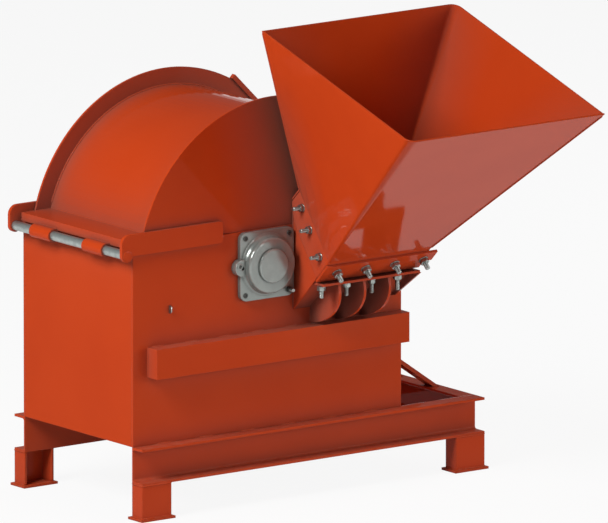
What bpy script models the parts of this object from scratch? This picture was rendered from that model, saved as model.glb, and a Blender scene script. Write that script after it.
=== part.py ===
"""Biomass crusher: a welded plate housing on a channel frame, a hinged round cover and a side feed hopper.

Metres, +Z up, +X along the machine away from the hinge, -Y towards the hopper.
The model is drawn from the near left bottom corner of the housing, and one empty then moves
it so that the origin lies at the middle of its footprint, on the floor.
"""

import math

import bmesh
import bpy
from mathutils import Matrix, Vector

# Housing, the welded box below the cover
box_length = 1.332
box_width = 0.744
box_height = 0.812
plate = 0.010
weld_gap = 0.0003

# Base frame of rolled channel, legs and feet
open_frame_length = 0.372
frame_length = box_length + open_frame_length
channel_height = 0.148
channel_flange = 0.064
channel_web = 0.007
channel_lip = 0.010
channel_root_radius = 0.010
leg_width = 0.142
leg_height = 0.134
foot_thickness = 0.010
foot_overhang = 0.012
brace_width = 0.060
brace_depth = 0.016
brace_inset = 0.220
brace_rise = 0.248
brace_end_gap = 0.016
brace_end_reach = open_frame_length - brace_end_gap

# Rails pressed from sheet, one on each long side
rail_start = 0.072
rail_end_gap = 0.006
rail_end = box_length - rail_end_gap
rail_drop = 0.414
rail_top = box_height - rail_drop
rail_height = 0.122
rail_bottom = rail_top - rail_height
rail_depth = 0.064
rail_sheet = 0.006

# Cover: two round side plates that stand proud of a rolled shell
cover_left = 0.030
cover_overrun = 0.038
cover_radius = (box_length + cover_overrun - cover_left) / 2
cover_centre_x = cover_left + cover_radius
cover_centre_drop = 0.138
cover_centre_z = box_height - cover_centre_drop
rim_height = 0.070
shell_radius = cover_radius - rim_height
shell_sheet = 0.006
cover_plate = 0.010
cover_inset = 0.005
slope_start_angle = 61.0
rim_bar_width = 0.020
rim_bar_depth = 0.020
rim_bar_overrun = 0.006
slope_panel_sheet = 0.008
slope_panel_angle = 45

# Hinge on the left end: a fixed rod in two brackets, and two knuckles on the cover
hinge_reach = 0.038
hinge_drop = 0.026
hinge_x = -hinge_reach
hinge_z = box_height - hinge_drop
rod_radius = 0.019
rod_clearance = 0.0006
bracket_thickness = 0.016
bracket_ear_radius = 0.027
bracket_left = hinge_x - bracket_ear_radius
bracket_right = 0.434
bracket_drop = 0.030
bracket_bottom = box_height - bracket_drop
bracket_height = 0.088
bracket_top_radius = 0.040
bracket_end_radius = 0.012
knuckle_length = 0.132
knuckle_wall = 0.008
knuckle_step = 0.001
knuckle_spacing = 0.356
strip_sheet = 0.008
strip_rise = 0.028
strip_top = box_height + strip_rise
strip_reach = 0.020
strip_left = -strip_reach
strip_overlap = 0.028

# Bearing units on both side plates, and the rotor that they carry
shaft_offset_x = 0.050
shaft_offset_z = 0.004
shaft_x = cover_centre_x - shaft_offset_x
shaft_z = cover_centre_z - shaft_offset_z
shaft_radius = 0.045
shaft_hole_clearance = 0.012
bore_clearance = 0.0006
bearing_width = 0.264
bearing_height = 0.280
bearing_flange_thickness = 0.020
bearing_corner_radius = 0.030
boss_radius = 0.114
boss_height = 0.058
boss_edge_radius = 0.010
lug_radius = 0.034
lug_height = 0.032
lug_wall_gap = 0.002
lug_inset = 0.0015
lug_hole_radius = 0.008
lug_hole_depth = 0.014
cap_radius = 0.070
cap_height = 0.012
cap_edge = 0.004
shaft_end_depth = 0.044
rotor_clearance = 0.021
rotor_radius = shell_radius - shell_sheet - math.hypot(shaft_offset_x, shaft_offset_z) - rotor_clearance
rotor_thickness = 0.040
rotor_y = 0.200
hub_radius = 0.100
hub_length = 0.140
paddle_count = 4
paddle_depth = 0.110
paddle_height = 0.160
paddle_thickness = 0.012
paddle_rim_gap = 0.010

# Feed chute on the near side plate, seen in the plane across the machine
chute_bearing_gap = 0.004
chute_left = shaft_x + bearing_width / 2 + chute_bearing_gap
chute_right_gap = 0.034
chute_right = box_length - chute_right_gap
chute_above_rail = 0.058
chute_foot_z = rail_top + chute_above_rail
mouth_low_reach = 0.248
mouth_low_rise = 0.240
mouth_high_reach = 0.048
mouth_high_rise = 0.508
chute_sheet = 0.008

# Ledge under the chute's floor and the ribs that carry it, measured from the foot of the chute
ledge_reach = 0.192
ledge_rise = 0.140
ledge_thickness = 0.010
rib_count = 3
rib_start = 0.098
rib_pitch = 0.124
rib_thickness = 0.012
rib_curve_reaches = (0.184, 0.224, 0.144, 0.0)
rib_curve_rises = (0.136, 0.048, -0.036, -0.056)
rib_curve_steps = 12

# Hopper of two bent sheets, welded at two corners and lapped over the chute
hopper_flare = 0.228
hopper_left = chute_left - hopper_flare
hopper_right = chute_right + hopper_flare
rim_far_reach = 0.060
rim_far_rise = 0.680
rim_near_reach = 0.844
rim_near_rise = 0.652
hopper_sheet = 0.006
rim_bend_radius = 0.036
neck_length = 0.112

# Clamp bar across the neck's underside, which runs on past the hopper's right wall
clamp_start = 0.021
clamp_width = 0.060
clamp_thickness = 0.010
clamp_overhang = 0.038

arc_steps = 40
round_steps = 48
corner_steps = 6

paint_colour = (0.52, 0.052, 0.014, 1.0)
cast_colour = (0.27, 0.28, 0.27, 1.0)
steel_colour = (0.36, 0.37, 0.37, 1.0)


def clear_scene():
    for item in list(bpy.data.objects):
        bpy.data.objects.remove(item)


def make_collection(name):
    collection = bpy.data.collections.new(name)
    bpy.context.scene.collection.children.link(collection)
    return collection


clear_scene()
parts = make_collection("biomass_crusher")
cutters = make_collection("cutters")

machine = bpy.data.objects.new("machine_origin", None)
parts.objects.link(machine)
cover_pivot = bpy.data.objects.new("cover_pivot", None)
cover_pivot.location = (hinge_x, 0.0, hinge_z)
cover_pivot.parent = machine
parts.objects.link(cover_pivot)


def finish(item, kind, parent=machine):
    """Give a finished solid its own material and hang it on its parent empty."""
    finishes = {
        "paint": (paint_colour, 0.35, 0.0),
        "cast": (cast_colour, 0.55, 0.6),
        "steel": (steel_colour, 0.35, 0.9),
    }
    colour, roughness, metallic = finishes[kind]
    material = bpy.data.materials.new(item.name + "_" + kind)
    material.use_nodes = True
    shader = material.node_tree.nodes["Principled BSDF"]
    shader.inputs["Base Color"].default_value = colour
    shader.inputs["Roughness"].default_value = roughness
    shader.inputs["Metallic"].default_value = metallic
    item.data.materials.clear()
    item.data.materials.append(material)
    if parent is cover_pivot:
        item.data.transform(Matrix.Translation((-hinge_x, 0.0, -hinge_z)))
    item.parent = parent
    return item


def object_from_bmesh(name, shape):
    bmesh.ops.recalc_face_normals(shape, faces=shape.faces)
    mesh = bpy.data.meshes.new(name)
    shape.to_mesh(mesh)
    shape.free()
    item = bpy.data.objects.new(name, mesh)
    parts.objects.link(item)
    return item


def block(name, low, high):
    """A rectangular solid between two opposite corners."""
    low = Vector(low)
    high = Vector(high)
    shape = bmesh.new()
    bmesh.ops.create_cube(shape, size=1.0)
    bmesh.ops.scale(shape, vec=high - low, verts=shape.verts)
    bmesh.ops.translate(shape, vec=(low + high) / 2, verts=shape.verts)
    return object_from_bmesh(name, shape)


def rod_along_y(name, radius, x, z, y_start, y_end):
    """A round bar along Y."""
    shape = bmesh.new()
    bmesh.ops.create_cone(
        shape, cap_ends=True, segments=round_steps, radius1=radius, radius2=radius, depth=y_end - y_start
    )
    turn = Matrix.Rotation(math.pi / 2, 4, "X")
    bmesh.ops.transform(shape, matrix=turn, verts=shape.verts)
    bmesh.ops.translate(shape, vec=(x, (y_start + y_end) / 2, z), verts=shape.verts)
    item = object_from_bmesh(name, shape)
    item.data.shade_smooth()
    item.data.set_sharp_from_angle(angle=math.radians(35))
    return item


# Turns from a drawing plane to the machine: the outline's first and second axes become these
PLANES = {
    "XZ": Matrix.Rotation(math.pi / 2, 4, "X"),
    "YZ": Matrix.Rotation(math.pi / 2, 4, "Z") @ Matrix.Rotation(math.pi / 2, 4, "X"),
    "XY": Matrix.Identity(4),
}


def weld_curve(item, plane, offset):
    """Turn a filled or open curve into a mesh in its real place, with its edges welded."""
    bpy.context.view_layer.update()
    graph = bpy.context.evaluated_depsgraph_get()
    mesh = bpy.data.meshes.new_from_object(item.evaluated_get(graph))
    name = item.name
    curve = item.data
    bpy.data.objects.remove(item)
    bpy.data.curves.remove(curve)
    shape = bmesh.new()
    shape.from_mesh(mesh)
    bpy.data.meshes.remove(mesh)
    bmesh.ops.remove_doubles(shape, verts=shape.verts, dist=0.00001)
    bmesh.ops.transform(shape, matrix=Matrix.Translation(offset) @ PLANES[plane], verts=shape.verts)
    return shape, name


def draw_curve(name, outlines, half_depth, closed):
    curve = bpy.data.curves.new(name, "CURVE")
    curve.dimensions = "2D"
    curve.fill_mode = "BOTH" if closed else "NONE"
    curve.extrude = half_depth
    for outline in outlines:
        spline = curve.splines.new("POLY")
        spline.points.add(len(outline) - 1)
        for point, place in zip(spline.points, outline):
            point.co = (place[0], place[1], 0.0, 1.0)
        spline.use_cyclic_u = closed
    item = bpy.data.objects.new(name, curve)
    parts.objects.link(item)
    return item


def flat_plate(name, plane, outlines, start, end):
    """A flat outline, with any holes after it, extruded from start to end across its plane.

    Across means along X for a YZ outline, along Y for XZ and along Z for XY."""
    item = draw_curve(name, outlines, (end - start) / 2, True)
    middle = (start + end) / 2
    offset = {"XZ": (0, middle, 0), "YZ": (middle, 0, 0), "XY": (0, 0, middle)}[plane]
    shape, name = weld_curve(item, plane, offset)
    return object_from_bmesh(name, shape)


def bent_sheet(name, plane, line, start, end, thickness):
    """A line drawn in a plane, extruded across it as a sheet that thickens to the line's right."""
    item = draw_curve(name, [line], (end - start) / 2, False)
    middle = (start + end) / 2
    offset = {"XZ": (0, middle, 0), "YZ": (middle, 0, 0), "XY": (0, 0, middle)}[plane]
    shape, name = weld_curve(item, plane, offset)
    mesh = bpy.data.meshes.new(name)
    shape.to_mesh(mesh)
    shape.free()
    sheet = bpy.data.objects.new(name, mesh)
    parts.objects.link(sheet)
    thicken(sheet, thickness)
    return sheet


def thicken(item, thickness):
    """Give an open surface its sheet thickness, all of it on the back of its faces."""
    solid = item.modifiers.new("sheet_thickness", "SOLIDIFY")
    solid.thickness = thickness
    solid.offset = -1.0
    solid.use_even_offset = True
    return solid


def bake(item):
    """Apply an object's modifiers by keeping its evaluated mesh."""
    bpy.context.view_layer.update()
    graph = bpy.context.evaluated_depsgraph_get()
    mesh = bpy.data.meshes.new_from_object(item.evaluated_get(graph))
    item.modifiers.clear()
    item.data = mesh
    return item


def combine(item, others, operation):
    """Union or cut an object with others, which are then removed."""
    for number, other in enumerate(others):
        step = item.modifiers.new(operation.lower() + str(number), "BOOLEAN")
        step.operation = operation
        step.solver = "EXACT"
        step.object = other
    bake(item)
    for other in others:
        bpy.data.objects.remove(other)
    return item


def arc(centre, radius, start_degrees, end_degrees, steps):
    """Points on a circle in a drawing plane, both ends included."""
    points = []
    for step in range(steps + 1):
        angle = math.radians(start_degrees + (end_degrees - start_degrees) * step / steps)
        points.append((centre[0] + radius * math.cos(angle), centre[1] + radius * math.sin(angle)))
    return points


def circle(centre, radius):
    return arc(centre, radius, 0, 360 - 360 / round_steps, round_steps - 1)


def rectangle(left, low, right, high):
    return [(left, low), (right, low), (right, high), (left, high)]


def channel_section(web_face, flange_side, low):
    """Outline of a rolled channel with rounded roots: web_face is its bare back, flange_side -1 or 1."""
    high = low + channel_height
    back = web_face
    root = web_face + flange_side * (channel_web + channel_root_radius)
    tip = web_face + flange_side * (channel_web + channel_flange)
    low_root = (root, low + channel_lip + channel_root_radius)
    high_root = (root, high - channel_lip - channel_root_radius)
    outline = [(back, low), (tip, low), (tip, low + channel_lip)]
    outline += arc(low_root, channel_root_radius, 270, 270 - 90 * flange_side, corner_steps)
    outline += arc(high_root, channel_root_radius, 90 + 90 * flange_side, 90, corner_steps)
    outline += [(tip, high - channel_lip), (tip, high), (back, high)]
    return outline


frame_top = -weld_gap
frame_bottom = frame_top - channel_height


def build_base_frame():
    near = flat_plate(
        "near_frame_channel", "YZ", [channel_section(channel_web, -1, frame_bottom)], 0.0, frame_length
    )
    far_back = box_width - channel_web
    far = flat_plate(
        "far_frame_channel", "YZ", [channel_section(far_back, 1, frame_bottom)], 0.0, frame_length
    )
    finish(near, "paint")
    finish(far, "paint")
    cross_start = channel_web + weld_gap
    cross_end = box_width - channel_web - weld_gap
    end = flat_plate(
        "end_cross_channel", "XZ", [channel_section(frame_length, -1, frame_bottom)], cross_start, cross_end
    )
    middle_back = box_length - channel_web - channel_flange
    middle = flat_plate(
        "mid_cross_channel", "XZ", [channel_section(middle_back, 1, frame_bottom)], cross_start, cross_end
    )
    finish(end, "paint")
    finish(middle, "paint")


def leg_section(left, web_face, flange_side):
    """Plan outline of a leg: a channel with its web outside and its flanges turned under the frame."""
    right = left + leg_width
    back = web_face
    front = web_face + flange_side * channel_web
    tip = web_face + flange_side * (channel_web + channel_flange)
    return [
        (left, back),
        (right, back),
        (right, tip),
        (right - channel_lip, tip),
        (right - channel_lip, front),
        (left + channel_lip, front),
        (left + channel_lip, tip),
        (left, tip),
    ]


def build_legs():
    leg_top = frame_bottom - weld_gap
    leg_bottom = leg_top - leg_height
    foot_top = leg_bottom - weld_gap
    for side, outer, inward in (
        ("near", -channel_flange, 1),
        ("far", box_width + channel_flange, -1),
    ):
        for end, left in (("left", 0.0), ("right", frame_length - leg_width)):
            leg = flat_plate(
                f"{side}_{end}_leg", "XY", [leg_section(left, outer, inward)], leg_bottom, leg_top
            )
            finish(leg, "paint")
            inner = outer + inward * (channel_web + channel_flange + foot_overhang)
            foot_edge = outer - inward * foot_overhang
            foot = block(
                f"{side}_{end}_foot",
                (left - foot_overhang, min(inner, foot_edge), foot_top - foot_thickness),
                (left + leg_width + foot_overhang, max(inner, foot_edge), foot_top),
            )
            finish(foot, "paint")


def build_braces():
    start = box_length + weld_gap
    reach = box_length + brace_end_reach
    slope = brace_rise / brace_end_reach
    drop = brace_depth * math.hypot(1.0, slope)
    low_reach = reach - drop / slope
    outline = [(start, brace_rise), (start, brace_rise - drop), (low_reach, 0.0), (reach, 0.0)]
    near = flat_plate("near_brace", "XZ", [outline], brace_inset, brace_inset + brace_width)
    far_edge = box_width - brace_inset
    far = flat_plate("far_brace", "XZ", [outline], far_edge - brace_width, far_edge)
    finish(near, "paint")
    finish(far, "paint")


# Feed chute, worked out in the YZ plane from the mouth's two corners and the foot on the housing
mouth_low = Vector((-mouth_low_reach, chute_foot_z + mouth_low_rise))
mouth_high = Vector((-mouth_high_reach, chute_foot_z + mouth_high_rise))
chute_way = (Vector((0.0, chute_foot_z)) - mouth_low).normalized()
chute_up = Vector((-chute_way.y, chute_way.x))
mouth_way = (mouth_high - mouth_low).normalized()


def at_y(point, way, y):
    """The point of a line that lies at a given Y."""
    return point + way * ((y - point.x) / way.x)


def crossing(point, way, other, other_way):
    """Where two lines of the YZ plane meet."""
    turned = Vector((-other_way.y, other_way.x))
    return point + way * ((other - point).dot(turned) / way.dot(turned))


lap = hopper_sheet + weld_gap
mouth_bend_radius = lap + weld_gap
floor_under = mouth_low + chute_up * lap
floor_over = floor_under + chute_up * chute_sheet
roof_over = mouth_high - chute_up * lap
roof_under = roof_over - chute_up * chute_sheet
chute_back = -weld_gap
cheek_left = chute_left + lap
cheek_right = chute_right - lap
feed_left = cheek_left + chute_sheet
feed_right = cheek_right - chute_sheet
feed_bottom = at_y(floor_over, chute_way, 0.0).y
feed_top = at_y(roof_under, chute_way, 0.0).y


def chute_strip(lower, upper):
    """Outline of a chute wall between two lines that run down the chute."""
    return [
        tuple(at_y(lower, chute_way, chute_back)),
        tuple(at_y(upper, chute_way, chute_back)),
        tuple(crossing(upper, chute_way, mouth_low, mouth_way)),
        tuple(crossing(lower, chute_way, mouth_low, mouth_way)),
    ]


def build_housing():
    shaft_hole = circle((shaft_x, shaft_z), shaft_radius + shaft_hole_clearance)
    near_outline = [
        (0.0, 0.0),
        (box_length, 0.0),
        (box_length, box_height),
        (feed_right, box_height),
        (feed_right, feed_bottom),
        (feed_left, feed_bottom),
        (feed_left, box_height),
        (0.0, box_height),
    ]
    near = flat_plate("near_side_plate", "XZ", [near_outline, shaft_hole], 0.0, plate)
    far_outline = rectangle(0.0, 0.0, box_length, box_height)
    far = flat_plate("far_side_plate", "XZ", [far_outline, shaft_hole], box_width - plate, box_width)
    finish(near, "paint")
    finish(far, "paint")
    inner_near = plate + weld_gap
    inner_far = box_width - plate - weld_gap
    left = block("left_end_plate", (0.0, inner_near, 0.0), (plate, inner_far, box_height))
    right = block(
        "right_end_plate", (box_length - plate, inner_near, 0.0), (box_length, inner_far, box_height)
    )
    finish(left, "paint")
    finish(right, "paint")


def build_rail(name, wall_y, outward):
    """A sheet tray turned over against the side plate, so its open side is closed by the plate."""
    near = wall_y + outward * weld_gap
    low_y, high_y = sorted((near, near + outward * rail_depth))
    low = Vector((rail_start, low_y, rail_bottom))
    high = Vector((rail_end, high_y, rail_bottom + rail_height))
    shape = bmesh.new()
    bmesh.ops.create_cube(shape, size=1.0)
    bmesh.ops.scale(shape, vec=high - low, verts=shape.verts)
    bmesh.ops.translate(shape, vec=(low + high) / 2, verts=shape.verts)
    open_side = [face for face in shape.faces if face.normal.y * outward < -0.5]
    bmesh.ops.delete(shape, geom=open_side, context="FACES_ONLY")
    mesh = bpy.data.meshes.new(name)
    shape.to_mesh(mesh)
    shape.free()
    rail = bpy.data.objects.new(name, mesh)
    parts.objects.link(rail)
    thicken(rail, rail_sheet)
    finish(rail, "paint")


cover_near_y = cover_inset
cover_far_y = box_width - cover_inset
cover_bottom = box_height + weld_gap
inner_near_y = cover_near_y + cover_plate + weld_gap
inner_far_y = cover_far_y - cover_plate - weld_gap
cover_centre = (cover_centre_x, cover_centre_z)


def angle_at_height(radius, height):
    """Angle, from +X, of the left point of a cover circle at a given height."""
    return 180.0 - math.degrees(math.asin((height - cover_centre_z) / radius))


slope_start = arc(cover_centre, cover_radius, slope_start_angle, slope_start_angle, 1)[0]
slope_end_z = slope_start[1] - (box_length - slope_start[0])


def cover_outline():
    start_angle = angle_at_height(cover_radius, cover_bottom)
    points = arc(cover_centre, cover_radius, start_angle, slope_start_angle, arc_steps)
    points.append((box_length, slope_end_z))
    points.append((box_length, cover_bottom))
    return points


def build_cover_plates():
    feed_notch = [
        (feed_right, cover_bottom),
        (feed_right, feed_top),
        (feed_left, feed_top),
        (feed_left, cover_bottom),
    ]
    near = flat_plate(
        "cover_near_plate", "XZ", [cover_outline() + feed_notch], cover_near_y, cover_near_y + cover_plate
    )
    far = flat_plate("cover_far_plate", "XZ", [cover_outline()], cover_far_y - cover_plate, cover_far_y)
    finish(near, "paint", cover_pivot)
    finish(far, "paint", cover_pivot)
    slope_length = math.hypot(box_length - slope_start[0], slope_start[1] - slope_end_z)
    middle = ((slope_start[0] + box_length) / 2, (slope_start[1] + slope_end_z) / 2)
    lift = (rim_bar_depth / 2 + weld_gap) / math.sqrt(2)
    for name, low_y, high_y in (
        ("cover_near_rim_bar", cover_near_y, cover_near_y + rim_bar_width),
        ("cover_far_rim_bar", cover_far_y - rim_bar_width, cover_far_y),
    ):
        bar = block(
            name,
            (-slope_length / 2 - rim_bar_overrun, low_y, -rim_bar_depth / 2),
            (slope_length / 2, high_y, rim_bar_depth / 2),
        )
        turn = Matrix.Rotation(math.radians(slope_panel_angle), 4, "Y")
        bar.data.transform(Matrix.Translation((middle[0] + lift, 0.0, middle[1] + lift)) @ turn)
        finish(bar, "paint", cover_pivot)


panel_touch = arc(cover_centre, shell_radius, slope_panel_angle, slope_panel_angle, 1)[0]


def build_cover_shell():
    start = angle_at_height(shell_radius - shell_sheet, strip_top + weld_gap)
    line = arc(cover_centre, shell_radius, start, slope_panel_angle, arc_steps)
    shell = bent_sheet("cover_shell", "XZ", line, inner_near_y, inner_far_y, shell_sheet)
    finish(shell, "paint", cover_pivot)
    back_line = [
        (panel_touch[0] + weld_gap, panel_touch[1] - weld_gap),
        (box_length, panel_touch[1] - (box_length - panel_touch[0])),
        (box_length, cover_bottom),
    ]
    back = bent_sheet("cover_back_sheet", "XZ", back_line, inner_near_y, inner_far_y, slope_panel_sheet)
    finish(back, "paint", cover_pivot)


def bracket_outline():
    """A flat bar with a round ear that drops below it at the hinge."""
    top = bracket_bottom + bracket_height
    right = bracket_right - bracket_end_radius
    low_corner = (right, bracket_bottom + bracket_end_radius)
    high_corner = (right, top - bracket_end_radius)
    left_corner = (bracket_left + bracket_top_radius, top - bracket_top_radius)
    ear_end = math.degrees(math.asin((bracket_bottom - hinge_z) / bracket_ear_radius))
    outline = arc((hinge_x, hinge_z), bracket_ear_radius, 180, 360 + ear_end, arc_steps // 2)
    outline += arc(low_corner, bracket_end_radius, 270, 360, corner_steps)
    outline += arc(high_corner, bracket_end_radius, 0, 90, corner_steps)
    outline += arc(left_corner, bracket_top_radius, 90, 180, corner_steps * 2)
    return outline


def build_hinge():
    hole = circle((hinge_x, hinge_z), rod_radius + rod_clearance)
    rod_end = weld_gap + bracket_thickness
    for name, start, end in (
        ("near_hinge_bracket", -rod_end, -weld_gap),
        ("far_hinge_bracket", box_width + weld_gap, box_width + rod_end),
    ):
        finish(flat_plate(name, "XZ", [bracket_outline(), hole], start, end), "paint")
    rod = rod_along_y("hinge_rod", rod_radius, hinge_x, hinge_z, -rod_end, box_width + rod_end)
    finish(rod, "steel")


def build_hinge_strip():
    """The leaf of the hinge: a flange under the shell, a lip turned down and two curled knuckles."""
    foot_angle = angle_at_height(shell_radius, strip_top)
    shell_foot = arc(cover_centre, shell_radius, foot_angle, foot_angle, 1)[0][0]
    curl_radius = rod_radius + rod_clearance + knuckle_wall
    curl_top = hinge_z + curl_radius
    leaf = flat_plate(
        "cover_hinge_strip",
        "XZ",
        [[
            (strip_left, curl_top - knuckle_wall),
            (strip_left + strip_sheet, curl_top - knuckle_wall),
            (strip_left + strip_sheet, strip_top - strip_sheet),
            (shell_foot + strip_overlap, strip_top - strip_sheet),
            (shell_foot + strip_overlap, strip_top),
            (strip_left, strip_top),
        ]],
        inner_near_y,
        inner_far_y,
    )
    middle = box_width / 2
    pieces = []
    bores = []
    for number, side in enumerate((-1, 1)):
        centre = middle + side * knuckle_spacing / 2
        start = centre - knuckle_length / 2
        end = centre + knuckle_length / 2
        curl = rod_along_y(f"curl{number}", curl_radius, hinge_x, hinge_z, start, end)
        tab = block(
            f"tab{number}",
            (hinge_x, start, curl_top - knuckle_wall),
            (strip_left + strip_sheet / 2, end, curl_top - knuckle_step),
        )
        pieces += [curl, tab]
        bore_radius = rod_radius + rod_clearance
        bores.append(rod_along_y(f"bore{number}", bore_radius, hinge_x, hinge_z, start - plate, end + plate))
    combine(leaf, pieces, "UNION")
    combine(leaf, bores, "DIFFERENCE")
    leaf.data.shade_smooth()
    leaf.data.set_sharp_from_angle(angle=math.radians(35))
    finish(leaf, "paint", cover_pivot)


def turned(name, profile, x, y, z, outward):
    """A profile of (radius, height) pairs turned about an axis along Y; heights grow outward."""
    mesh = bpy.data.meshes.new(name)
    verts = [(radius, 0.0, height) for radius, height in profile]
    edges = [(index, index + 1) for index in range(len(verts) - 1)]
    mesh.from_pydata(verts, edges, [])
    item = bpy.data.objects.new(name, mesh)
    parts.objects.link(item)
    screw = item.modifiers.new("turn", "SCREW")
    screw.steps = round_steps
    screw.render_steps = round_steps
    screw.use_merge_vertices = True
    screw.merge_threshold = 0.00001
    bake(item)
    shape = bmesh.new()
    shape.from_mesh(item.data)
    bmesh.ops.remove_doubles(shape, verts=shape.verts, dist=0.00001)
    turn = Matrix.Rotation(-outward * math.pi / 2, 4, "X")
    bmesh.ops.transform(shape, matrix=Matrix.Translation((x, y, z)) @ turn, verts=shape.verts)
    bmesh.ops.recalc_face_normals(shape, faces=shape.faces)
    shape.to_mesh(item.data)
    shape.free()
    item.data.shade_smooth()
    item.data.set_sharp_from_angle(angle=math.radians(35))
    return item


def build_bearing(side, wall_y, outward):
    """A cast flange unit: flange with a side lug, round boss open to the shaft, and a cap over the bore."""
    half_width = bearing_width / 2 - bearing_corner_radius
    half_height = bearing_height / 2 - bearing_corner_radius
    outline = []
    for corner, (x_way, z_way) in enumerate(((1, 1), (-1, 1), (-1, -1), (1, -1))):
        centre = (shaft_x + x_way * half_width, shaft_z + z_way * half_height)
        outline += arc(centre, bearing_corner_radius, 90 * corner, 90 * corner + 90, corner_steps)
    low_y, high_y = sorted((wall_y + outward * weld_gap, wall_y + outward * bearing_flange_thickness))
    housing = flat_plate(f"{side}_bearing_housing", "XZ", [outline], low_y, high_y)
    seat = bearing_flange_thickness / 2
    edge_centre = (boss_radius - boss_edge_radius, boss_height - boss_edge_radius)
    profile = [(0.0, boss_height)]
    profile += arc(edge_centre, boss_edge_radius, 90, 0, corner_steps)
    profile += [(boss_radius, seat), (0.0, seat)]
    boss = turned(f"{side}_boss", profile, shaft_x, wall_y, shaft_z, outward)
    lug_x = shaft_x - bearing_width / 2 + lug_inset
    lug_face = wall_y + outward * lug_height
    lug_ends = sorted((wall_y + outward * lug_wall_gap, lug_face))
    lug = rod_along_y(f"{side}_lug", lug_radius, lug_x, shaft_z, *lug_ends)
    combine(housing, [boss, lug], "UNION")
    hole_ends = sorted((lug_face - outward * lug_hole_depth, lug_face + outward * lug_hole_depth))
    hole = rod_along_y(f"{side}_lug_hole", lug_hole_radius, lug_x, shaft_z, *hole_ends)
    bore_ends = sorted((wall_y - outward * boss_height, wall_y + outward * boss_height * 2))
    bore = rod_along_y(f"{side}_bore", shaft_radius + bore_clearance, shaft_x, shaft_z, *bore_ends)
    combine(housing, [hole, bore], "DIFFERENCE")
    housing.data.shade_smooth()
    housing.data.set_sharp_from_angle(angle=math.radians(35))
    finish(housing, "cast")
    cap_start = boss_height + weld_gap
    cap_profile = [
        (0.0, cap_start + cap_height),
        (cap_radius - cap_edge, cap_start + cap_height),
        (cap_radius, cap_start + cap_height - cap_edge),
        (cap_radius, cap_start),
        (0.0, cap_start),
    ]
    finish(turned(f"{side}_bearing_cap", cap_profile, shaft_x, wall_y, shaft_z, outward), "cast")


def build_rotor():
    shaft = rod_along_y(
        "rotor_shaft", shaft_radius, shaft_x, shaft_z, -shaft_end_depth, box_width + shaft_end_depth
    )
    finish(shaft, "steel")
    bore_radius = shaft_radius + bore_clearance
    disc_start = rotor_y
    disc_end = rotor_y + rotor_thickness
    disc = turned(
        "rotor_disc",
        [
            (bore_radius, hub_length),
            (hub_radius, hub_length),
            (hub_radius, rotor_thickness),
            (rotor_radius, rotor_thickness),
            (rotor_radius, 0.0),
            (bore_radius, 0.0),
            (bore_radius, hub_length),
        ],
        shaft_x,
        disc_start,
        shaft_z,
        1,
    )
    paddles = []
    for number in range(paddle_count):
        paddle = block(
            f"paddle{number}",
            (rotor_radius - paddle_height, disc_end - rotor_thickness / 2, -paddle_thickness / 2),
            (rotor_radius - paddle_rim_gap, disc_end + paddle_depth, paddle_thickness / 2),
        )
        turn = Matrix.Rotation(2 * math.pi * (number + 0.5) / paddle_count, 4, "Y")
        paddle.data.transform(Matrix.Translation((shaft_x, 0.0, shaft_z)) @ turn)
        paddles.append(paddle)
    combine(disc, paddles, "UNION")
    disc.data.shade_smooth()
    disc.data.set_sharp_from_angle(angle=math.radians(35))
    finish(disc, "steel")


def build_chute():
    cheek = chute_strip(floor_under, roof_over)
    left = flat_plate("chute_left_cheek", "YZ", [cheek], cheek_left, cheek_left + chute_sheet)
    right = flat_plate("chute_right_cheek", "YZ", [cheek], cheek_right - chute_sheet, cheek_right)
    finish(left, "paint")
    finish(right, "paint")
    inner_left = feed_left + weld_gap
    inner_right = feed_right - weld_gap
    level = Vector((1.0, 0.0))
    ledge = []
    for height in (chute_foot_z + ledge_rise, chute_foot_z + ledge_rise - ledge_thickness):
        ledge.append((-ledge_reach, height))
        ledge.append(tuple(crossing(floor_under, chute_way, Vector((0.0, height)), level)))
    upper_edge, upper_root, lower_edge, lower_root = ledge
    section = chute_strip(floor_under, floor_over) + [upper_root, upper_edge, lower_edge, lower_root]
    floor = flat_plate("chute_floor", "YZ", [section], inner_left, inner_right)
    roof = flat_plate("chute_roof", "YZ", [chute_strip(roof_under, roof_over)], inner_left, inner_right)
    inside = floor_under + chute_up * chute_sheet / 2
    ribs = []
    outline = rib_edge() + [
        tuple(at_y(inside, chute_way, chute_back)),
        tuple(crossing(inside, chute_way, Vector((0.0, chute_foot_z + rib_curve_rises[0])), level)),
    ]
    for number in range(rib_count):
        start = chute_left + rib_start + number * rib_pitch - rib_thickness / 2
        ribs.append(flat_plate(f"rib{number}", "YZ", [outline], start, start + rib_thickness))
    combine(floor, ribs, "UNION")
    finish(floor, "paint")
    finish(roof, "paint")


def rib_edge():
    """The rib's swept outer edge, a cubic curve from under the ledge to the wall."""
    controls = [
        Vector((-reach, chute_foot_z + rise)) for reach, rise in zip(rib_curve_reaches, rib_curve_rises)
    ]
    controls[-1].x = chute_back
    points = []
    for step in range(rib_curve_steps + 1):
        t = step / rib_curve_steps
        shares = ((1 - t) ** 3, 3 * t * (1 - t) ** 2, 3 * t * t * (1 - t), t**3)
        point = Vector((0.0, 0.0))
        for share, control in zip(shares, controls):
            point += share * control
        points.append(tuple(point))
    return points


def build_clamp_bar():
    top = mouth_low + chute_way * clamp_start - chute_up * weld_gap
    bottom = top + chute_way * clamp_width
    depth = chute_up * clamp_thickness
    outline = [tuple(top), tuple(bottom), tuple(bottom - depth), tuple(top - depth)]
    bar = flat_plate("hopper_clamp_bar", "YZ", [outline], chute_left, chute_right + clamp_overhang)
    finish(bar, "paint")


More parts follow.
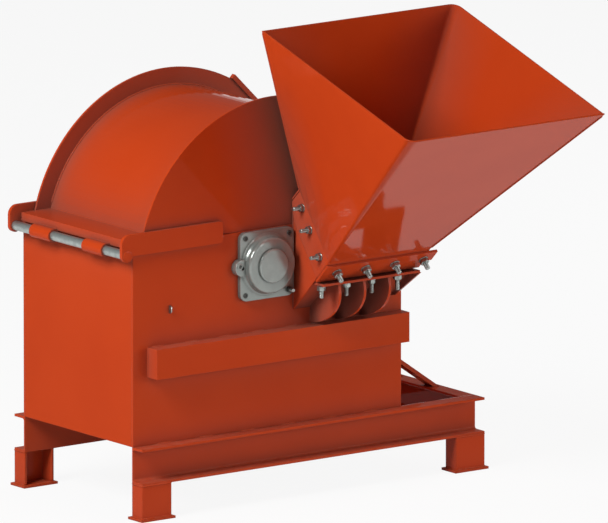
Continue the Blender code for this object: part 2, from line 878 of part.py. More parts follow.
def bent_path(width, depth, radius):
    """Corner path of one hopper sheet: down one wall, round its bend and along the next wall."""
    wall_steps = 4
    bend_steps = 5
    path = []
    for step in range(wall_steps):
        path.append((0.0, depth + (radius - depth) * step / wall_steps))
    path += arc((radius, radius), radius, 180, 270, bend_steps)
    path.append((width, 0.0))
    return path


def hopper_row(left, right, near, far, radius, turned_over, butt_ways):
    """One ring of a hopper sheet at a level, ending short of the sheet that it butts against."""
    width = right - left
    depth = (far - near).length
    way = (far - near).normalized()
    skew = min(abs(way.cross(butt_way)) for butt_way in butt_ways)
    shorten = lap / (depth * skew)
    row = []
    for x, y in bent_path(width, depth, radius):
        share = min(y / depth, 1.0 - shorten)
        if turned_over:
            x = width - x
            share = 1.0 - share
        place = near + (far - near) * share
        row.append(Vector((left + x, place.x, place.y)))
    return row


def build_hopper_sheet(name, turned_over):
    rim_near = mouth_low + Vector((-rim_near_reach, rim_near_rise))
    rim_far = mouth_high + Vector((-rim_far_reach, rim_far_rise))
    butt_way = (mouth_low - rim_near) if turned_over else (mouth_high - rim_far)
    butt_way.normalize()
    rim = hopper_row(hopper_left, hopper_right, rim_near, rim_far, rim_bend_radius, turned_over, [butt_way])
    mouth = hopper_row(
        chute_left,
        chute_right,
        mouth_low,
        mouth_high,
        mouth_bend_radius,
        turned_over,
        [butt_way, chute_way],
    )
    levels = 6
    rows = []
    for level in range(levels + 1):
        t = level / levels
        rows.append([a.lerp(b, t) for a, b in zip(rim, mouth)])
    neck = []
    for point in mouth:
        reach = min(neck_length, (chute_back - point.y) / chute_way.x)
        neck.append(point + Vector((0.0, chute_way.x * reach, chute_way.y * reach)))
    rows.append(neck)
    shape = bmesh.new()
    grid = [[shape.verts.new(point) for point in row] for row in rows]
    for upper, lower in zip(grid, grid[1:]):
        for index in range(len(upper) - 1):
            shape.faces.new((upper[index], lower[index], lower[index + 1], upper[index + 1]))
    mesh = bpy.data.meshes.new(name)
    shape.to_mesh(mesh)
    shape.free()
    sheet = bpy.data.objects.new(name, mesh)
    parts.objects.link(sheet)
    sheet.data.shade_smooth()
    sheet.data.set_sharp_from_angle(angle=math.radians(35))
    thicken(sheet, hopper_sheet)
    finish(sheet, "paint")


def rest_on_floor():
    """Move the machine so that its footprint's middle and its lowest point are at the origin."""
    bpy.context.view_layer.update()
    graph = bpy.context.evaluated_depsgraph_get()
    corners = []
    for item in parts.objects:
        if item.type == "MESH":
            mesh = item.evaluated_get(graph).to_mesh()
            corners += [item.matrix_world @ vertex.co for vertex in mesh.vertices]
            item.evaluated_get(graph).to_mesh_clear()
    low = [min(corner[axis] for corner in corners) for axis in range(3)]
    high = [max(corner[axis] for corner in corners) for axis in range(3)]
    machine.location = (-(low[0] + high[0]) / 2, -(low[1] + high[1]) / 2, -low[2])


build_base_frame()
build_legs()
build_braces()
build_housing()
build_rail("near_rail", 0.0, -1)
build_rail("far_rail", box_width, 1)
build_cover_plates()
build_cover_shell()
build_hinge()
build_hinge_strip()
build_bearing("near", 0.0, -1)
build_bearing("far", box_width, 1)
build_rotor()
build_chute()
build_clamp_bar()
build_hopper_sheet("hopper_left_near_sheet", False)
build_hopper_sheet("hopper_far_right_sheet", True)
rest_on_floor()
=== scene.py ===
"""Looks of a biomass crusher: orange enamel on plate and channel, grey castings, zinc plated bolts.

Metres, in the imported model's frame: +X away from the cover's hinge, -Y towards the hopper, +Z up.
Places are given from the housing's near left bottom corner, as in the part's own source.
"""

import math

import bmesh
import bpy
from mathutils import Matrix, Vector


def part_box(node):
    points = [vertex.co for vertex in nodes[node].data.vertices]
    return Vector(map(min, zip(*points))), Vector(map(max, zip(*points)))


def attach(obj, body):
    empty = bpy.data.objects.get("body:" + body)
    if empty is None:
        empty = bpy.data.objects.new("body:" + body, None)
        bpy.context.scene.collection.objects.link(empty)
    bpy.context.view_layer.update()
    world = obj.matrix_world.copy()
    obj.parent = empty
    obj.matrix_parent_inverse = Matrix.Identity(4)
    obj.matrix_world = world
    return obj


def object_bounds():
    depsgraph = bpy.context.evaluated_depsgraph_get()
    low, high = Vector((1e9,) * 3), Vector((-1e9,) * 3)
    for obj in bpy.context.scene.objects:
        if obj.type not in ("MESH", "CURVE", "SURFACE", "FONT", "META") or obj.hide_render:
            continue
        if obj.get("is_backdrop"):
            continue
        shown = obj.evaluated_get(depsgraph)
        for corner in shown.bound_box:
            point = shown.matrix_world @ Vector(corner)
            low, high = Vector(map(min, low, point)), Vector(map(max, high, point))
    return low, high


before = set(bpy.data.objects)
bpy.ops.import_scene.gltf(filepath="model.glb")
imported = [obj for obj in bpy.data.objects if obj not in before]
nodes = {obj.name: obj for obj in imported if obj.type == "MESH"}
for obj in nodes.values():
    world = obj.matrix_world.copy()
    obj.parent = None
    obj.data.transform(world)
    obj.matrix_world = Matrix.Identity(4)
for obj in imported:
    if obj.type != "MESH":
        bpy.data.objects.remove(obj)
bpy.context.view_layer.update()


# The studio: a pale floor, a white wall that fades into a grey ceiling, and three area lamps.
# The camera stands far off with a long lens, turned 36.5 degrees and raised 11.7 degrees.
def look_from(azimuth, elevation):
    """The direction towards a camera or lamp, from its turn and rise in degrees."""
    turn = math.radians(azimuth)
    rise = math.radians(elevation)
    return Vector((math.sin(turn) * math.cos(rise), -math.cos(turn) * math.cos(rise), math.sin(rise)))


housing_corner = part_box("near_side_plate")[0]


def at(x, y, z):
    """A place given from the housing's near left bottom corner."""
    return housing_corner + Vector((x, y, z))


photo_azimuth = -36.5
photo_elevation = 11.7
photo_width_m = 608 / 250
camera_distance = 92.0
camera_target = at(0.847, 0.0, 0.653)

camera = bpy.data.objects.new("camera", bpy.data.cameras.new("camera"))
camera.data.sensor_width = 36.0
camera.data.lens = camera.data.sensor_width * camera_distance / photo_width_m
back = look_from(photo_azimuth, photo_elevation)
camera.location = camera_target + back * camera_distance
camera.rotation_euler = (-back).to_track_quat("-Z", "Y").to_euler()
camera.data.clip_end = 500.0
bpy.context.scene.collection.objects.link(camera)
bpy.context.scene.camera = camera
bpy.context.scene.view_settings.view_transform = "Standard"


class Socket:
    """A node socket that takes part in Python arithmetic; each operation adds its Math node."""

    def __init__(self, tree, link):
        self.tree = tree
        self.link = link

    def node(self, kind, settings=None, sockets=None, output=0):
        return add_node(self.tree, kind, settings, sockets, output)

    def math(self, operation, other, swap=False, clamp=False):
        pair = (other, self) if swap else (self, other)
        settings = {"operation": operation, "use_clamp": clamp}
        return self.node("ShaderNodeMath", settings, {0: pair[0], 1: pair[1]})

    def __add__(self, other):
        return self.math("ADD", other)

    def __sub__(self, other):
        return self.math("SUBTRACT", other)

    def __rsub__(self, other):
        return self.math("SUBTRACT", other, True)

    def __mul__(self, other):
        return self.math("MULTIPLY", other)

    def __pow__(self, other):
        return self.math("POWER", other)

    def clamped(self):
        return self.math("ADD", 0.0, clamp=True)

    __radd__ = __add__
    __rmul__ = __mul__


def add_node(tree, kind, settings=None, sockets=None, output=0):
    """Add one node: its settings first, then the values or links of its sockets."""
    node = tree.nodes.new(kind)
    for name, value in (settings or {}).items():
        if name == "stops":
            ramp = node.color_ramp
            while len(ramp.elements) < len(value):
                ramp.elements.new(0.5)
            for element, (place, level) in zip(ramp.elements, value):
                element.position = place
                element.color = (level, level, level, 1.0)
        else:
            setattr(node, name, value)
    for name, value in (sockets or {}).items():
        if isinstance(value, Socket):
            tree.links.new(value.link, node.inputs[name])
        else:
            node.inputs[name].default_value = value
    return Socket(tree, node.outputs[output])


def new_material(name):
    """An empty node material and its tree, with the output node to link to."""
    material = bpy.data.materials.new(name)
    material.use_nodes = True
    tree = material.node_tree
    tree.nodes.clear()
    out = tree.nodes.new("ShaderNodeOutputMaterial")
    return material, tree, out


def steps(value, *stops):
    """A value passed through a ramp of (place, level) stops."""
    return value.node("ShaderNodeValToRGB", {"stops": stops}, {"Fac": value})


def seen_or_mirrored(tree):
    """1 for rays from the camera and for rays that mirror or pass through a surface, else 0."""
    camera_ray = add_node(tree, "ShaderNodeLightPath", output="Is Camera Ray")
    mirror_ray = add_node(tree, "ShaderNodeLightPath", output="Is Glossy Ray")
    through_ray = add_node(tree, "ShaderNodeLightPath", output="Is Transmission Ray")
    return (camera_ray + mirror_ray + through_ray).clamped()


floor_size = 150.0
floor_white_share = 0.91
white = (1.0, 1.0, 1.0, 1.0)
floor_mesh = bpy.data.meshes.new("studio_floor")
shape = bmesh.new()
bmesh.ops.create_grid(shape, x_segments=1, y_segments=1, size=floor_size)
shape.to_mesh(floor_mesh)
shape.free()
floor = bpy.data.objects.new("studio_floor", floor_mesh)
bpy.context.scene.collection.objects.link(floor)
material, tree, out = new_material("studio_floor")
plain = add_node(tree, "ShaderNodeBsdfDiffuse", {}, {"Color": (0.8, 0.8, 0.8, 1.0)})
bright = add_node(tree, "ShaderNodeEmission", {}, {"Color": white, "Strength": 1.0})
share = seen_or_mirrored(tree) * floor_white_share
mixed = add_node(tree, "ShaderNodeMixShader", {}, {0: share, 1: plain, 2: bright})
tree.links.new(mixed.link, out.inputs["Surface"])
floor_mesh.materials.append(material)
floor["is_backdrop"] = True

surround_level = 0.13
ceiling_level = 0.16
world = bpy.data.worlds.new("studio")
world.use_nodes = True
bpy.context.scene.world = world
tree = world.node_tree
tree.nodes.clear()
lighting = add_node(tree, "ShaderNodeBackground", {}, {"Color": white, "Strength": surround_level})
wall = add_node(tree, "ShaderNodeBackground", {}, {"Color": white, "Strength": 1.0})
ceiling = add_node(tree, "ShaderNodeBackground", {}, {"Color": white, "Strength": ceiling_level})
way = add_node(tree, "ShaderNodeTexCoord", output="Generated")
height = add_node(tree, "ShaderNodeSeparateXYZ", {}, {0: way}, 2)
upward = steps(height, (0.04, 0.0), (0.14, 1.0))
room = add_node(tree, "ShaderNodeMixShader", {}, {0: upward, 1: wall, 2: ceiling})
mixed = add_node(tree, "ShaderNodeMixShader", {}, {0: seen_or_mirrored(tree), 1: lighting, 2: room})
out = tree.nodes.new("ShaderNodeOutputWorld")
tree.links.new(mixed.link, out.inputs["Surface"])


def studio_lamp(name, azimuth, elevation, distance, width, height, power):
    """A rectangular area lamp that faces the machine."""
    lamp = bpy.data.objects.new(name, bpy.data.lights.new(name, "AREA"))
    lamp.data.shape = "RECTANGLE"
    lamp.data.size = width
    lamp.data.size_y = height
    lamp.data.energy = power
    way = look_from(azimuth, elevation)
    lamp.location = camera_target + way * distance
    lamp.rotation_euler = way.to_track_quat("Z", "Y").to_euler()
    bpy.context.scene.collection.objects.link(lamp)


studio_lamp("key", -81, 37, 8.0, 3.0, 3.0, 525)
studio_lamp("front", 42, 8, 9.0, 9.0, 3.2, 310)
studio_lamp("rear", 108, 26, 9.0, 4.5, 4.5, 190)


# Base frame: two long channels and two cross channels, rolled steel, cut and welded together.
# Everything welded is sprayed with one orange enamel, which lies smooth and glossy on the plate.
enamel_colour = (0.572, 0.0575, 0.0105, 1.0)
enamel_thin = (0.532, 0.0505, 0.0092, 1.0)
# Painted highlight: the lighter orange laid on sharp edges.
enamel_edge_highlight = (0.68, 0.085, 0.024, 1.0)
# Grime and painted shade: the dark brown laid into corners.
enamel_grime_and_shade = (0.16, 0.030, 0.016, 1.0)
# Painted shade: the dull brown that sheltered enamel is blended towards.
enamel_painted_shade = (0.215, 0.100, 0.078, 1.0)
settled_dust = (0.50, 0.30, 0.20, 1.0)
bare_chip = (0.20, 0.19, 0.18, 1.0)


def noise(tree, scale, detail=2.0, roughness=0.5, stretch=None):
    """Noise in the object's own metres; stretch makes it run finer along some axes."""
    place = add_node(tree, "ShaderNodeTexCoord", output="Object")
    if stretch:
        sockets = {0: place, 1: stretch}
        place = add_node(tree, "ShaderNodeVectorMath", {"operation": "MULTIPLY"}, sockets)
    sockets = {"Vector": place, "Scale": scale, "Detail": detail, "Roughness": roughness}
    return add_node(tree, "ShaderNodeTexNoise", {"noise_dimensions": "3D"}, sockets)


def blend_colours(tree, factor, first, second):
    """The first colour where factor is 0 and the second where it is 1."""
    sockets = {0: factor, 6: first, 7: second}
    return add_node(tree, "ShaderNodeMix", {"data_type": "RGBA"}, sockets, output=2)


def edges_for_wear_and_highlight(tree, radius):
    """Normals rounded at the edges, and a mask that is 1 on a sharp edge and 0 on flat metal."""
    rounded = add_node(tree, "ShaderNodeBevel", {"samples": 4}, {"Radius": radius})
    flat = add_node(tree, "ShaderNodeNewGeometry", output="Normal")
    likeness = add_node(
        tree, "ShaderNodeVectorMath", {"operation": "DOT_PRODUCT"}, {0: rounded, 1: flat}, "Value"
    )
    return rounded, ((1.0 - likeness) * 6.0).clamped()


def corner_shade(tree, distance):
    """1 in the open and less where metal meets metal."""
    return add_node(tree, "ShaderNodeAmbientOcclusion", {"samples": 4}, {"Distance": distance}, "AO")


def bumped(tree, height, strength, distance, normal=None):
    """A normal tilted by a height pattern, on top of another normal if one is given."""
    sockets = {"Height": height, "Strength": strength, "Distance": distance}
    if normal:
        sockets["Normal"] = normal
    return add_node(tree, "ShaderNodeBump", {}, sockets)


def shade(tree, out, varying, constants):
    """The surface shader: sockets that vary over the surface, and those that don't."""
    shader = tree.nodes.new("ShaderNodeBsdfPrincipled")
    for name, value in constants.items():
        shader.inputs[name].default_value = value
    for name, value in varying.items():
        tree.links.new(value.link, shader.inputs[name])
    tree.links.new(shader.outputs[0], out.inputs["Surface"])


def orange_enamel(
    name, wavy, edge_radius, dusty=0.0, brown_tint=0.8, grime_and_shade_reach=0.05, grime_and_shade_depth=0.55, gloss=0.07
):
    """Sprayed enamel: broad drift in its colour, orange peel, wavy plate, a painted highlight on edges,
    painted shade in shelter, and grime with painted shade in corners.
    """
    material, tree, out = new_material(name)
    drift = steps(noise(tree, 2.2, 3.0), (0.35, 0.0), (0.68, 1.0))
    colour = blend_colours(tree, drift * 0.8, enamel_colour, enamel_thin)
    rounded, edge = edges_for_wear_and_highlight(tree, edge_radius)
    # Sharp edges are painted a lighter orange: a painted highlight.
    colour = blend_colours(tree, edge * 0.45, colour, enamel_edge_highlight)
    chipped = (edge * steps(noise(tree, 60.0, 4.0, 0.7), (0.64, 0.0), (0.70, 1.0))).clamped()
    colour = blend_colours(tree, chipped * 0.55, colour, bare_chip)
    # Painted shade: places sheltered within 0.32 m are browned and darkened.
    painted_shade_mask = (1.0 - corner_shade(tree, 0.32)).clamped()
    colour = blend_colours(tree, (painted_shade_mask * brown_tint).clamped(), colour, enamel_painted_shade)
    # Corners are darkened in patches: grime and painted shade.
    stain = steps(noise(tree, 14.0, 4.0, 0.6), (0.30, 0.35), (0.70, 1.0))
    grime_and_shade = ((1.0 - corner_shade(tree, grime_and_shade_reach)) ** 1.6 * stain).clamped()
    colour = blend_colours(tree, grime_and_shade * grime_and_shade_depth, colour, enamel_grime_and_shade)
    roughness = 0.035 + drift * 0.03 + grime_and_shade * 0.35 + chipped * 0.25
    if dusty:
        facing = add_node(tree, "ShaderNodeNewGeometry", output="Normal")
        level = add_node(tree, "ShaderNodeSeparateXYZ", {}, {0: facing}, 2)
        dust = (level * steps(noise(tree, 30.0, 4.0, 0.65), (0.38, 0.0), (0.75, 1.0)) * dusty).clamped()
        colour = blend_colours(tree, dust, colour, settled_dust)
        roughness = roughness + dust * 0.4
    wave = bumped(tree, noise(tree, 5.0, 1.0), wavy, 0.004, rounded)
    normal = bumped(tree, noise(tree, 420.0, 1.0), 0.018, 0.0004, wave)
    shade(
        tree,
        out,
        {"Base Color": colour, "Roughness": roughness, "Normal": normal},
        {"Specular IOR Level": gloss},
    )
    return material


def dress(names, material):
    """Give CAD nodes that keep their shape a finish."""
    for name in names:
        nodes[name].data.materials.clear()
        nodes[name].data.materials.append(material)


def new_piece(name, shape, material, body, sharp_angle=35.0):
    """Keep a mesh as a named piece of the machine that rides on a body."""
    bmesh.ops.recalc_face_normals(shape, faces=shape.faces)
    mesh = bpy.data.meshes.new(name)
    shape.to_mesh(mesh)
    shape.free()
    mesh.shade_smooth()
    mesh.set_sharp_from_angle(angle=math.radians(sharp_angle))
    mesh.materials.append(material)
    piece = bpy.data.objects.new(name, mesh)
    bpy.context.scene.collection.objects.link(piece)
    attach(piece, body)
    return piece


def join_rings(shape, rings, closed=False, capped=False):
    """Faces between rings of points; closed joins the last to the first, capped fills both ends."""
    grid = [[shape.verts.new(point) for point in points] for points in rings]
    pairs = list(zip(grid, grid[1:]))
    if closed:
        pairs.append((grid[-1], grid[0]))
    for low, high in pairs:
        for index in range(len(low)):
            after = (index + 1) % len(low)
            shape.faces.new((low[index], low[after], high[after], high[index]))
    if capped:
        shape.faces.new(grid[0])
        shape.faces.new(grid[-1])


def weld_bead(shape, points, radius, ripple=0.009):
    """A fillet bead along a line: a round ridge with overlapping ripples that tapers at its ends."""
    around = 8
    lengths = [(b - a).length for a, b in zip(points, points[1:])]
    total = sum(lengths)
    count = max(6, int(total / ripple * 3))
    rings = []
    for step in range(count + 1):
        reach = total * step / count
        index = 0
        while index < len(lengths) - 1 and reach > lengths[index]:
            reach -= lengths[index]
            index += 1
        way = (points[index + 1] - points[index]).normalized()
        place = points[index] + way * reach
        across = way.orthogonal().normalized()
        if abs(way.z) < 0.9:
            across = way.cross(Vector((0.0, 0.0, 1.0))).normalized()
        up = way.cross(across)
        run = total * step / count
        swell = 1.0 - 0.22 * (run / ripple % 1.0)
        taper = min(1.0, (0.4 + min(run, total - run) / (radius * 2)))
        ring = []
        for side in range(around):
            angle = 2 * math.pi * side / around
            size = radius * swell * taper
            ring.append(place + (across * math.cos(angle) + up * math.sin(angle)) * size)
        rings.append(ring)
    join_rings(shape, rings, capped=True)


def stitches(shape, start, end, radius, stitch, pitch):
    """Short beads at a regular pitch along a straight joint."""
    way = (end - start).normalized()
    total = (end - start).length
    count = int((total - stitch) / pitch) + 1
    first = (total - (count - 1) * pitch - stitch) / 2
    for number in range(count):
        begin = start + way * (first + number * pitch)
        weld_bead(shape, [begin, begin + way * stitch], radius)


frame_length = 1.704
box_length = 1.332
box_width = 0.744
box_height = 0.812
frame_drop = 0.148
web_thickness = 0.007
cross_channel_reach = 0.071
frame_bead = 0.0045
frame_stitch = 0.070
frame_stitch_pitch = 0.205
frame_paint = orange_enamel("frame_enamel", 0.06, 0.006, dusty=0.18, brown_tint=0.6, gloss=0.05)
dress(["near_frame_channel", "far_frame_channel", "end_cross_channel", "mid_cross_channel"], frame_paint)

shape = bmesh.new()
for wall_y, outward in ((web_thickness, -1), (box_width - web_thickness, 1)):
    for x in (frame_length, box_length - cross_channel_reach, box_length):
        inside = wall_y - outward * 0.0015
        weld_bead(shape, [at(x, inside, -0.006), at(x, inside, -frame_drop + 0.006)], frame_bead)
for wall_y in (-0.001, box_width + 0.001):
    ends = [at(x, wall_y, 0.0) for x in (0.02, box_length - 0.02)]
    stitches(shape, ends[0], ends[1], frame_bead, frame_stitch, frame_stitch_pitch)
new_piece("frame_weld_beads", shape, frame_paint, "machine", 60.0)


# Legs and feet: four short lengths of channel under the frame's ends, each on a flat foot plate.
# They are welded along their outer faces, and dust settles on the foot plates.
leg_width = 0.142
leg_reach = 0.071
leg_height = 0.134
leg_outset = 0.064
leg_top = -0.1483
leg_bead = 0.004
leg_names = []
for corner in ("near_left", "near_right", "far_left", "far_right"):
    leg_names += [corner + "_leg", corner + "_foot"]
leg_paint = orange_enamel("leg_enamel", 0.05, 0.010, dusty=0.25, brown_tint=0.2, gloss=0.05)
dress(leg_names, leg_paint)

shape = bmesh.new()
for outer, inward in ((-leg_outset, 1), (box_width + leg_outset, -1)):
    for left in (0.0, frame_length - leg_width):
        right = left + leg_width
        for height in (leg_top, leg_top - leg_height):
            corners = [
                at(left, outer + inward * leg_reach, height),
                at(left, outer, height),
                at(right, outer, height),
                at(right, outer + inward * leg_reach, height),
            ]
            weld_bead(shape, corners, leg_bead)
new_piece("leg_weld_beads", shape, leg_paint, "machine", 60.0)


# Housing: four plates of 10 mm steel welded into an open box on the frame, ground flush outside.
# A small zinc plated earthing tab stands on the near plate, low down towards the hinge.
housing_paint = orange_enamel("housing_enamel", 0.10, 0.004, brown_tint=0.6, gloss=0.045)
dress(["near_side_plate", "far_side_plate"], housing_paint)
end_paint = orange_enamel("end_enamel", 0.10, 0.004, brown_tint=0.6, gloss=0.02)
dress(["left_end_plate", "right_end_plate"], end_paint)


def zinc_plate(name):
    """Bright zinc: pale grey metal with a faint cloudy passivation."""
    material, tree, out = new_material(name)
    cloud = steps(noise(tree, 90.0, 3.0), (0.35, 0.0), (0.70, 1.0))
    colour = blend_colours(tree, cloud, (0.44, 0.47, 0.45, 1.0), (0.30, 0.33, 0.31, 1.0))
    # Corners are darkened: grime and painted shade.
    grime_and_shade = (1.0 - corner_shade(tree, 0.012)).clamped()
    colour = blend_colours(tree, grime_and_shade * 0.7, colour, (0.06, 0.05, 0.04, 1.0))
    roughness = 0.24 + cloud * 0.14 + grime_and_shade * 0.2
    normal = bumped(tree, noise(tree, 1500.0, 2.0), 0.06, 0.0002)
    shade(tree, out, {"Base Color": colour, "Roughness": roughness, "Normal": normal}, {"Metallic": 0.92})
    return material


bolt_zinc = zinc_plate("bolt_zinc")


def standing(foot, way):
    """A turn and shift that sets a fastener drawn along +Z on its foot, pointing along way."""
    return Matrix.Translation(foot) @ way.to_track_quat("Z", "Y").to_matrix().to_4x4()


def turned_rings(place, profile, count):
    """Rings of a profile of (radius, height) pairs turned about an axis."""
    rings = []
    for radius, height in profile:
        ring = []
        for n in range(count):
            angle = 2 * math.pi * n / count
            ring.append(place @ Vector((radius * math.cos(angle), radius * math.sin(angle), height)))
        rings.append(ring)
    return rings


def hexagon_ring(place, flats, height, count, slope=0.0):
    """A hexagon with count points; slope makes its corners rise or fall away from its flats."""
    ring = []
    for n in range(count):
        angle = 2 * math.pi * n / count
        reach = flats / 2 / math.cos((angle + math.pi / 6) % (math.pi / 3) - math.pi / 6)
        rise = height + (reach - flats / 2) * slope
        ring.append(place @ Vector((reach * math.cos(angle), reach * math.sin(angle), rise)))
    return ring


def washer(shape, place, radius, hole, thickness):
    """A flat round washer with chamfered outer edges."""
    edge = thickness * 0.25
    profile = [(hole, 0.0), (radius - edge, 0.0), (radius, edge), (radius, thickness - edge)]
    profile += [(radius - edge, thickness), (hole, thickness)]
    join_rings(shape, turned_rings(place, profile, 32), closed=True)


def hexagon_nut(shape, place, flats, hole, low, height):
    """A hexagon with both ends turned to a cone, so that each side ends in an arc."""
    count = 36
    slope = math.tan(math.radians(30))
    face = flats * 0.475
    shoulder = (flats / 2 - face) * slope
    high = low + height
    rings = turned_rings(place, [(hole, low), (face, low)], count)
    rings.append(hexagon_ring(place, flats, low + shoulder, count, slope))
    rings.append(hexagon_ring(place, flats, high - shoulder, count, -slope))
    rings += turned_rings(place, [(face, high), (hole, high)], count)
    join_rings(shape, rings, closed=True)


def threaded_stud(shape, place, radius, low, high, pitch=0.0026):
    """A stud with a true helical thread and a chamfered end."""
    around = 18
    count = int((high - low) / pitch * 3)
    rings = []
    for step in range(count + 1):
        height = low + (high - low) * step / count
        ring = []
        for n in range(around):
            phase = (height / pitch - n / around) % 1.0
            size = radius * (1.0 - 0.11 * abs(2.0 * phase - 1.0))
            if step > count - 3:
                size *= 1.0 - 0.07 * (step - count + 3)
            angle = 2 * math.pi * n / around
            ring.append(place @ Vector((size * math.cos(angle), size * math.sin(angle), height)))
        rings.append(ring)
    join_rings(shape, rings, capped=True)


def nut_on_stud(shape, foot, way, flats, radius, tail, turn=0.0):
    """A washer, a nut, and the stud's tail that stands out past the nut."""
    place = standing(foot, way) @ Matrix.Rotation(turn, 4, "Z")
    washer_thickness = 0.003
    nut_height = radius * 1.6
    washer(shape, place, flats * 0.60, radius * 0.9, washer_thickness)
    hexagon_nut(shape, place, flats, radius * 0.9, washer_thickness, nut_height)
    threaded_stud(shape, place, radius, washer_thickness * 0.5, washer_thickness + nut_height + tail)


def plate(shape, outline, low, high):
    """A flat plate: its outline in Y and Z, between two places along X."""
    rings = [[at(x, y, z) for y, z in outline] for x in (low, high)]
    join_rings(shape, rings, capped=True)


tab_x = 0.178
tab_thickness = 0.004
tab_height = 0.541
tab_outline = [(-0.0003, -0.016), (-0.009, -0.016), (-0.0130, -0.0135), (-0.015, -0.009)]
tab_outline += [(y, -z) for y, z in reversed(tab_outline)]
shape = bmesh.new()
plate(shape, [(y, z + tab_height) for y, z in tab_outline], tab_x, tab_x + tab_thickness)
new_piece("earthing_tab", shape, bolt_zinc, "machine")


# Rails: sheet pressed into trays and welded against both side plates as stiffeners.
# Their edges are folded, so they show a softer line than cut plate does.
rail_left = 0.072
rail_right = 1.326
rail_low = 0.276
rail_high = 0.398
rail_bead = 0.0035
rail_stitch = 0.060
rail_stitch_pitch = 0.165
rail_paint = orange_enamel("rail_enamel", 0.09, 0.005, dusty=0.15, gloss=0.05)
dress(["near_rail", "far_rail"], rail_paint)

shape = bmesh.new()
for wall_y in (-0.001, box_width + 0.001):
    for height in (rail_low, rail_high):
        ends = [at(x, wall_y, height) for x in (rail_left, rail_right)]
        stitches(shape, ends[0], ends[1], rail_bead, rail_stitch, rail_stitch_pitch)
    for x in (rail_left, rail_right):
        weld_bead(shape, [at(x, wall_y, rail_low), at(x, wall_y, rail_high)], rail_bead)
new_piece("rail_weld_beads", shape, rail_paint, "machine", 60.0)


# Braces: two flat bars that slope from the end plate down to the open end of the frame.
# They are cut to length and welded across both ends.
brace_paint = orange_enamel("brace_enamel", 0.05, 0.0025, dusty=0.2, gloss=0.05)
dress(["near_brace", "far_brace"], brace_paint)
brace_near = 0.220
brace_width = 0.060
brace_rise = 0.248
brace_reach = 0.356
brace_bead = 0.004

shape = bmesh.new()
for side in (brace_near, box_width - brace_near - brace_width):
    high = at(box_length + 0.001, side, brace_rise)
    weld_bead(shape, [high, high + Vector((0.0, brace_width, 0.0))], brace_bead)
    low = at(box_length + brace_reach, side, 0.001)
    weld_bead(shape, [low, low + Vector((0.0, brace_width, 0.0))], brace_bead)
new_piece("brace_weld_beads", shape, brace_paint, "machine", 60.0)


# Hinge: two flat bars with a drilled ear, welded on the side plates, and a drawn steel rod.
# The rod is bare and dull, and a domed plug in the bars' orange covers each of its ends.
bracket_left = 0.012
bracket_right = 0.434
bracket_low = 0.782
bracket_bead = 0.004
near = Vector((0.0, -1.0, 0.0))
bracket_paint = orange_enamel("bracket_enamel", 0.05, 0.003, gloss=0.05)
dress(["near_hinge_bracket", "far_hinge_bracket"], bracket_paint)


def drawn_steel(name, colour, dark, lines, dullness=0.30):
    """Drawn or turned bar: fine lines across its length, with dull patches."""
    material, tree, out = new_material(name)
    patch = steps(noise(tree, 26.0, 4.0, 0.6), (0.40, 0.0), (0.72, 1.0))
    tone = blend_colours(tree, patch, colour, dark)
    scratch = noise(tree, 40.0, 3.0, 0.6, lines)
    roughness = dullness + patch * 0.16 + scratch * 0.10
    normal = bumped(tree, scratch, 0.10, 0.0003)
    shade(tree, out, {"Base Color": tone, "Roughness": roughness, "Normal": normal}, {"Metallic": 1.0})
    return material


rod_steel = drawn_steel("rod_steel", (0.50, 0.55, 0.53, 1.0), (0.34, 0.37, 0.36, 1.0), (4.0, 30.0, 4.0), 0.42)
dress(["hinge_rod"], rod_steel)

rod_low, rod_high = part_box("hinge_rod")
rod_radius = (rod_high.z - rod_low.z) / 2
shape = bmesh.new()
for end_y, way in ((rod_low.y, near), (rod_high.y, -near)):
    middle = (rod_low + rod_high) / 2
    place = standing(Vector((middle.x, end_y, middle.z)) + way * 0.0003, way)
    dome = [(rod_radius + 0.0030, 0.0), (rod_radius + 0.0026, 0.0010), (rod_radius + 0.0004, 0.0020)]
    dome += [(rod_radius - 0.0040, 0.0026), (rod_radius * 0.3, 0.0028)]
    join_rings(shape, turned_rings(place, dome, 40), capped=True)
new_piece("rod_end_plugs", shape, bracket_paint, "machine")

shape = bmesh.new()
for wall_y in (-0.001, box_width + 0.001):
    under = [at(x, wall_y, bracket_low) for x in (bracket_left, bracket_right - 0.006)]
    weld_bead(shape, under, bracket_bead)
    end = [at(bracket_right, wall_y, z) for z in (bracket_low + 0.004, box_height)]
    weld_bead(shape, end, bracket_bead)
new_piece("bracket_weld_beads", shape, bracket_paint, "machine", 60.0)


# Bearing units: cast iron flange housings sprayed grey, each held by three socket screws and a stud.
# The boss meets its flange in a cast fillet, a cap closes it, and a plug fills the side lug's hole.
shaft_x = 0.650
shaft_z = 0.670
flange_out = 0.020
boss_radius = 0.114
lug_out = 0.032
corner_bolt_x = 0.108
corner_bolt_z = 0.116


def cast_iron(name):
    """Grey sprayed casting: sand grain under the paint, and shadow in the turned corners."""
    material, tree, out = new_material(name)
    cloud = steps(noise(tree, 18.0, 4.0, 0.6), (0.32, 0.0), (0.70, 1.0))
    colour = blend_colours(tree, cloud, (0.320, 0.352, 0.330, 1.0), (0.265, 0.292, 0.274, 1.0))
    rounded, edge = edges_for_wear_and_highlight(tree, 0.005)
    colour = blend_colours(tree, edge * 0.6, colour, (0.52, 0.54, 0.52, 1.0))
    grime_and_shade = ((1.0 - corner_shade(tree, 0.035)) ** 1.3 * 1.1).clamped()
    colour = blend_colours(tree, grime_and_shade * 0.9, colour, (0.045, 0.046, 0.040, 1.0))
    roughness = 0.13 + cloud * 0.06 + grime_and_shade * 0.30
    grain = bumped(tree, noise(tree, 380.0, 3.0, 0.6), 0.06, 0.0004, rounded)
    shade(
        tree,
        out,
        {"Base Color": colour, "Roughness": roughness, "Normal": grain},
        {"Metallic": 0.45, "Specular IOR Level": 0.5},
    )
    return material


bearing_grey = cast_iron("bearing_grey")
dress(["near_bearing_housing", "far_bearing_housing", "near_bearing_cap", "far_bearing_cap"], bearing_grey)


